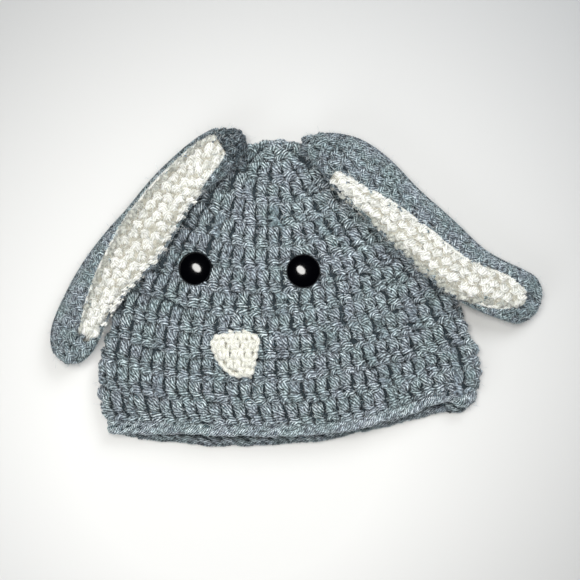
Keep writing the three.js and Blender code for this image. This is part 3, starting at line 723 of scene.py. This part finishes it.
def makeEar(side):
    surface, panelSurface = earSurfaces[side]
    title = side.capitalize()
    back, panel = Skein(), Skein()
    rows = round(ears["length"] / singleCrochet["height"])
    places = stitchPlaces(surface, rows, singleCrochet["width"], shift=0.5)
    row, share, _ = places.T
    covered = surface.read(surface.marks, (row + 0.5) / rows, share)[:, 0] > 0.5
    # painted shade on the back's first rows at the root, fading out over darkRows
    paintedRootShade = -ears[side]["dark"][0] * smooth(1 - row[~covered] / ears["darkRows"])
    crochet(back, surface, places[~covered], rows, singleCrochet, *singleCrochet["laid"],
            singleCrochet["thick"], level=paintedRootShade)
    places, rows = panelPlaces(panelSurface)
    crochet(panel, panelSurface, places, rows, panelCrochet, *panelCrochet["laid"],
            panelCrochet["thick"], shade=ears[side]["shade"])
    sewRound(panel, panelSurface, panelHem)
    sewRound(back, surface, earSeam)
    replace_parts(back.piece(f"ear{title}Back", brushedYarn, "grey_yarn"), f"ear_{side}_back")
    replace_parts(panel.piece(f"ear{title}Panel", whiteYarn, "white_yarn"), f"ear_{side}_inner")
    makePad(f"ear{title}Pad", panelSurface, panelCrochet["padOver"], -panelCrochet["padUnder"])
    fuzzySurfaces["grey"].append((surface, ears["fibres"]))
    fuzzySurfaces["white"].append((panelSurface, ears["panelFibres"]))
    makeShell(f"ear{title}Lining", surface, ears["liningOuter"], ears["liningInner"],
              surface.marks[..., 0], slice(1, -1), slice(None, None, 4))


print("ears")
fuzzySurfaces = {"grey": [(hatSurface, hatBody["fibres"])], "white": []}
makeEar("left")
makeEar("right")


# Loose fibres, drawn 0.15 mm thick so that they show as a faint halo. Real ones are far finer.
# The clear shares are how far round a button and the nose none grows, in diameters and widths.
fuzz = {
    "radius": 0.075, "length": (1.6, 5.2), "points": 3, "sides": 3, "from": -0.3, "steep": (0.2, 0.8),
    # crest: how far the fibres take the yarn's crest colour, its painted highlight
    "bend": 0.45, "taper": 0.6, "leastHeight": 0.1, "crest": 0.8,
    "clearOfButton": 0.65, "clearOfNose": 0.6,
}


def makeFuzz(name, surfaces, material):  # surfaces with how many fibres each has
    starts, normals = [], []
    for surface, count in surfaces:
        rows = rng.choice(len(surface.widths), count, p=surface.widths / surface.widths.sum())
        v = (rows + rng.uniform(0, 1, count)) / len(surface.widths)
        where, normal = surface.at(v, rng.uniform(0, 1, count), np.full(count, fuzz["from"]))
        starts.append(where)
        normals.append(normal)
    starts, normals = np.concatenate(starts), np.concatenate(normals)
    clear = np.ones(len(starts), bool)
    bare = [(spot, button["diameter"] * fuzz["clearOfButton"]) for spot in button["places"].values()]
    for place, reach in bare + [(nose["place"], nose["width"] * fuzz["clearOfNose"])]:
        clear &= np.hypot(*(starts[:, :2] - placeOnHat(*place)).T) > reach
    starts, normals = starts[clear], normals[clear]
    n, k, sides = len(starts), fuzz["points"], fuzz["sides"]
    aside = unit(np.cross(normals, rng.normal(0, 1, (n, 3))))
    heading = unit(normals * rng.uniform(*fuzz["steep"], (n, 1)) + aside)
    bend = unit(rng.normal(0, 1, (n, 3)))
    length = rng.uniform(*fuzz["length"], (n, 1, 1))
    t = np.linspace(0, 1, k)[None, :, None]
    path = starts[:, None] + (heading[:, None] * t + bend[:, None] * fuzz["bend"] * t * t) * length
    path[..., 2] = np.maximum(path[..., 2], fuzz["leastHeight"])
    along = unit(np.gradient(path, axis=1))
    side = unit(np.cross(along, bend[:, None]))
    up = np.cross(side, along)
    angle = np.arange(sides) * 2 * np.pi / sides
    reach = fuzz["radius"] * (1 - fuzz["taper"] * t[..., None])
    ring = (np.cos(angle)[:, None] * up[:, :, None] + np.sin(angle)[:, None] * side[:, :, None]) * reach
    verts = (path[:, :, None] + ring).reshape(-1, 3)
    index = np.arange(n * k * sides).reshape(n, k, sides)
    caps = np.concatenate([index[:, 0], index[:, -1, ::-1]])
    makePiece(name, verts, [tubeQuads(index)[:, ::-1], caps[:, ::-1]], material,
              {"plyCrest": np.full(len(verts), fuzz["crest"])})


# The nose patch: across and up, as shares of half its width and half its height
nose = {
    "place": (-0.288, 0.716), "width": 24.5, "height": 22, "thickness": 3, "gap": 0.35,
    "outline": [
        (-0.8, 0.71), (-0.62, 0.85), (-0.33, 0.91), (0.22, 0.93), (0.68, 0.91), (0.93, 0.81), (1.0, 0.63),
        (0.9, 0.1), (0.82, -0.42), (0.73, -0.78), (0.57, -0.9), (0.1, -0.92), (-0.15, -0.8),
        (-0.47, -0.46), (-0.72, 0.02), (-0.85, 0.47),
    ],
    "rows": 5, "stitch": 4.1, "thick": 0.84, "laid": (-0.7, 9), "roundEdge": 3.5, "inFromEdge": 1.0,
    # the border runs round the outline, on a cloth of rings from innermost, a share of its size
    "border": {
        "width": 3.7, "laid": (-0.6, 9), "innermost": 0.3, "rings": 12, "rows": 10, "row": 9.0,
        "wobble": 0.05, "wobbleOut": 0.12, "tone": 0.2,
        "strands": [
            [(-0.62, 0.6, -0.9), (-0.3, 0.2, 0.2), (0.05, 0.15, 0.5), (0.38, 0.4, 0.2), (0.62, 0.9, -0.9)],
            [(-0.3, -0.6, -0.6), (-0.15, -0.1, 0.3), (0.0, 0.5, 0.5), (0.1, 1.1, -0.4)],
        ],
    },
    "padUnder": 1.2,
}


def makeNose():
    cx, cy = placeOnHat(*nose["place"])
    half = np.array([nose["width"], nose["height"]]) / 2
    corners = np.array(nose["outline"]) * half
    looped = np.concatenate([corners[-1:], corners, corners[:2]])
    outline = curveThrough(np.pad(looped, ((0, 0), (0, 1))), 121)[9:-9, :2]
    outline = evenLoop(np.pad(outline, ((0, 0), (0, 1))), 120)[:, :2]

    def topOf(x, y):
        inset = insideOutline(outline, x - cx, y - cy)
        thick = nose["thickness"] * quarterRound(inset / nose["roundEdge"])
        return hatHeight(True, x, y) + nose["gap"] + thick

    x, y = np.meshgrid(np.linspace(-1, 1, 60) * half[0] + cx, np.linspace(1, -1, 60) * half[1] + cy)
    flat = Cloth(np.stack([x, y, topOf(x, y)], 2), closed=False)
    rows = nose["rows"]
    places = stitchPlaces(flat, rows, nose["stitch"], shift=0.5)
    row, share, _ = places.T
    middle = flat.at((row + 0.5) / rows, share, np.zeros(len(row)))[0]
    inside = insideOutline(outline, middle[:, 0] - cx, middle[:, 1] - cy)
    skein = Skein()
    chosen, border = places[inside > nose["inFromEdge"]], nose["border"]
    crochet(skein, flat, chosen, rows, singleCrochet, *nose["laid"], nose["thick"])
    radial = np.linspace(border["innermost"], 1, border["rings"])[:, None, None]
    ringed = outline[None, ::-1] * radial + np.array([cx, cy])
    heights = topOf(ringed[..., 0], ringed[..., 1])
    rim = Cloth(np.concatenate([ringed, heights[..., None]], 2))
    if rim.normals[5, 0, 2] < 0:
        rim.normals *= -1
    count = round(rim.widthAt(1) / border["width"])
    crochet(skein, rim, stitchRow(border["row"], count), border["rows"], border, *border["laid"],
            nose["thick"])
    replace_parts(skein.piece("nosePatch", brightYarn, "white_yarn"), "nose_patch")
    pad = Cloth(np.concatenate([ringed, heights[..., None] - nose["padUnder"]], 2))
    pad.normals = np.broadcast_to([0.0, 0.0, 1.0], pad.points.shape)
    makeShell("nosePad", pad, 0.0, -nose["padUnder"], np.ones(pad.points.shape[:2]),
              slice(None), slice(None, None, 2))


print("nose")
makeNose()

# The eyes: 16 mm domed shank buttons, with a rolled edge
button = {
    "diameter": 16, "height": 4.6, "rim": 1.5, "standOff": 0.7,
    "places": {"left": (-0.487, 0.431), "right": (0.068, 0.44)},
    "tilt": 0.1,  # the share of the hat's slope that a button takes: its shank lets it lie flatter
    "under": [(0.0, 0.0), (0.5, 0.0), (0.9, 0.0), (0.97, 0.15), (1.0, 0.5)],  # share of the radius, mm up
    "step": 2, "domeRings": 32, "sides": 72,
}


def mouldedPolyester():
    # Moulded polyester, polished: jet black, so the eye sees only the lights in it
    material, tree, shader, where = newMaterial("mouldedPolyesterBlack", {
        "Base Color": linear("#020204"), "IOR": 1.5, "Specular IOR Level": 0.5})
    # A polish never gets quite even: 5 mm wide patches, slightly duller
    haze = addNode(tree, "ShaderNodeTexNoise", {"Scale": 200, "Detail": 3, "Vector": where})
    polish = addNode(tree, "ShaderNodeMapRange", {
        "To Min": 0.08, "To Max": 0.14, "Value": haze.outputs["Fac"]})
    tree.links.new(polish.outputs["Result"], shader.inputs["Roughness"])
    return material


def makeButton(side, material):
    x, y = placeOnHat(*button["places"][side])
    step = button["step"]
    xs, ys = np.array([x, x + step, x - step, x, x]), np.array([y, y, y, y + step, y - step])
    z = hatHeight(True, xs, ys)
    slope = button["tilt"] * np.array([z[2] - z[1], z[4] - z[3]]) / (2 * step)
    up = unit(np.array([*slope, 1]))
    seat = np.array([x, y, z[0]]) + up * button["standOff"]
    radius, rim, height = button["diameter"] / 2, button["rim"], button["height"]
    edge = [(radius * share, high) for share, high in button["under"]]
    dome = np.sin(np.linspace(0.5 * np.pi, 0, button["domeRings"]))
    edge += [(radius * share, rim + (height - rim) * np.sqrt(1 - share ** 2)) for share in dome]
    profile = np.array(edge)
    turns = np.linspace(0, 2 * np.pi, button["sides"], endpoint=False)
    across = unit(np.cross(up, [0, 1, 0]))
    around = np.cos(turns)[:, None] * across + np.sin(turns)[:, None] * np.cross(up, across)
    rings = seat + profile[1:-1, None, :1] * around[None] + profile[1:-1, None, 1:] * up
    count, last = len(turns), len(rings) - 1
    index = np.arange(rings.shape[0] * count).reshape(-1, count)
    following = np.roll(index, -1, 1)
    quads = np.stack([index[:-1], following[:-1], following[1:], index[1:]], -1).reshape(-1, 4)
    under, top = len(index) * count, len(index) * count + 1
    fans = np.concatenate([np.stack([np.full(count, under), following[0], index[0]], 1),
                           np.stack([np.full(count, top), index[last], following[last]], 1)])
    verts = np.concatenate([rings.reshape(-1, 3), [seat + profile[0, 1] * up, seat + profile[-1, 1] * up]])
    piece = makePiece(f"eyeButton{side.capitalize()}", verts, [quads, fans], material)
    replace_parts(piece, f"eye_button_{side}")


print("buttons")
black = mouldedPolyester()
makeButton("left", black)
makeButton("right", black)

print("loose fibres")
makeFuzz("looseFibresGrey", fuzzySurfaces["grey"], greyYarn)
makeFuzz("looseFibresWhite", fuzzySurfaces["white"], whiteYarn)


# The table and the light. The camera looks straight down, like the photo. Each pair is in metres from the
# light's middle: over the first the table's colour is painted darker, as painted light falloff, over the
# second it is painted lighter again, and over the third, far off, where only side views look, it gets a
# painted glow.
studio = {
    "floor": "#e0dfdc", "floorFar": "#86888a", "floorSize": 6, "lightMiddle": (-0.03, -0.06, 0),
    "darkens": (0.08, 0.34), "lightens": (0.3, 0.5), "glows": (0.3, 0.9), "farGlow": 0.5,
    "room": "#f7faff", "ambient": 0.22, "horizon": 0.8, "horizonTo": 0.5,
    "camera": {"height": 600, "centreY": 2.4, "seen": 278.4, "focus": 6},
    "lamps": [
        # name, place in mm, size in mm, watts, colour, whether it mirrors in the buttons
        ("softPanel", (-60, 60, 620), (200, 300), 2.9, "#fffefb", True),
        ("windowLight", (230, 300, 480), (340, 340), 1.9, "#f8fbff", False),
        ("doorLight", (-330, -380, 420), (420, 420), 1.15, "#f8fbff", False),
    ],
}


def makeTable():
    size = studio["floorSize"] / 2
    mesh = bpy.data.meshes.new("table")
    corners = [(-size, -size, 0), (size, -size, 0), (size, size, 0), (-size, size, 0)]
    mesh.from_pydata(corners, [], [(0, 1, 2, 3)])
    table = addObject("table", mesh)
    # Pale stone, with painted light falloff: darker away from the light's middle, lighter again far off,
    # with a painted glow there
    paint, tree, shader, where = newMaterial("paleStonePaintedFalloff", {
        "Roughness": 0.6, "Emission Color": linear(studio["floor"])})
    away = addNode(tree, "ShaderNodeVectorMath", {
        "operation": "DISTANCE", 0: where, 1: studio["lightMiddle"]}).outputs["Value"]
    far, near, glow = (
        addNode(tree, "ShaderNodeMapRange", {
            "From Min": start, "From Max": end, "To Min": low, "To Max": high,
            "Value": away}).outputs["Result"]
        for (start, end), low, high in ((studio["darkens"], 0, 1), (studio["lightens"], 1, 0),
                                        (studio["glows"], 0, studio["farGlow"])))
    fade = addNode(tree, "ShaderNodeMath", {"operation": "MULTIPLY", 0: far, 1: near}).outputs[0]
    pale = addNode(tree, "ShaderNodeMix", {
        "data_type": "RGBA", 0: fade, 6: linear(studio["floor"]), 7: linear(studio["floorFar"])})
    tree.links.new(pale.outputs[2], shader.inputs["Base Color"])
    tree.links.new(glow, shader.inputs["Emission Strength"])
    mesh.materials.append(paint)


def makeLights():
    for name, place, size, watts, colour, mirrors in studio["lamps"]:
        lamp = bpy.data.lights.new(name, "AREA")
        lamp.shape = "ELLIPSE"
        lamp.size, lamp.size_y = size[0] * mm, size[1] * mm
        lamp.energy, lamp.color = watts, linear(colour)[:3]
        holder = addObject(name, lamp)
        holder.visible_glossy = mirrors
        holder.location = Vector(place) * mm
        holder.rotation_euler = (-Vector(place)).to_track_quat("-Z", "Y").to_euler()
    world = bpy.data.worlds.new("softRoom")
    world.use_nodes = True
    air = world.node_tree
    upward = addNode(air, "ShaderNodeTexCoord").outputs["Generated"]
    height = addNode(air, "ShaderNodeSeparateXYZ", {0: upward}).outputs["Z"]
    glow = addNode(air, "ShaderNodeMapRange", {
        "From Min": 0, "From Max": studio["horizonTo"], "To Min": studio["horizon"],
        "To Max": studio["ambient"], "Value": height})
    air.links.new(glow.outputs["Result"], air.nodes["Background"].inputs["Strength"])
    air.nodes["Background"].inputs["Color"].default_value = linear(studio["room"])
    world.cycles_visibility.glossy = False  # the buttons mirror the soft panel alone
    bpy.context.scene.world = world


def makeCamera():
    view = studio["camera"]
    lens = bpy.data.cameras.new("overhead")
    lens.lens = lens.sensor_width * (view["height"] - view["focus"]) / view["seen"]
    camera = addObject("overhead", lens)
    camera.location = (0, view["centreY"] * mm, view["height"] * mm)
    bpy.context.scene.camera = camera
    bpy.context.scene.view_settings.view_transform = "Standard"


print("table, lights and camera")
makeTable()
makeLights()
makeCamera()

bpy.context.view_layer.update()
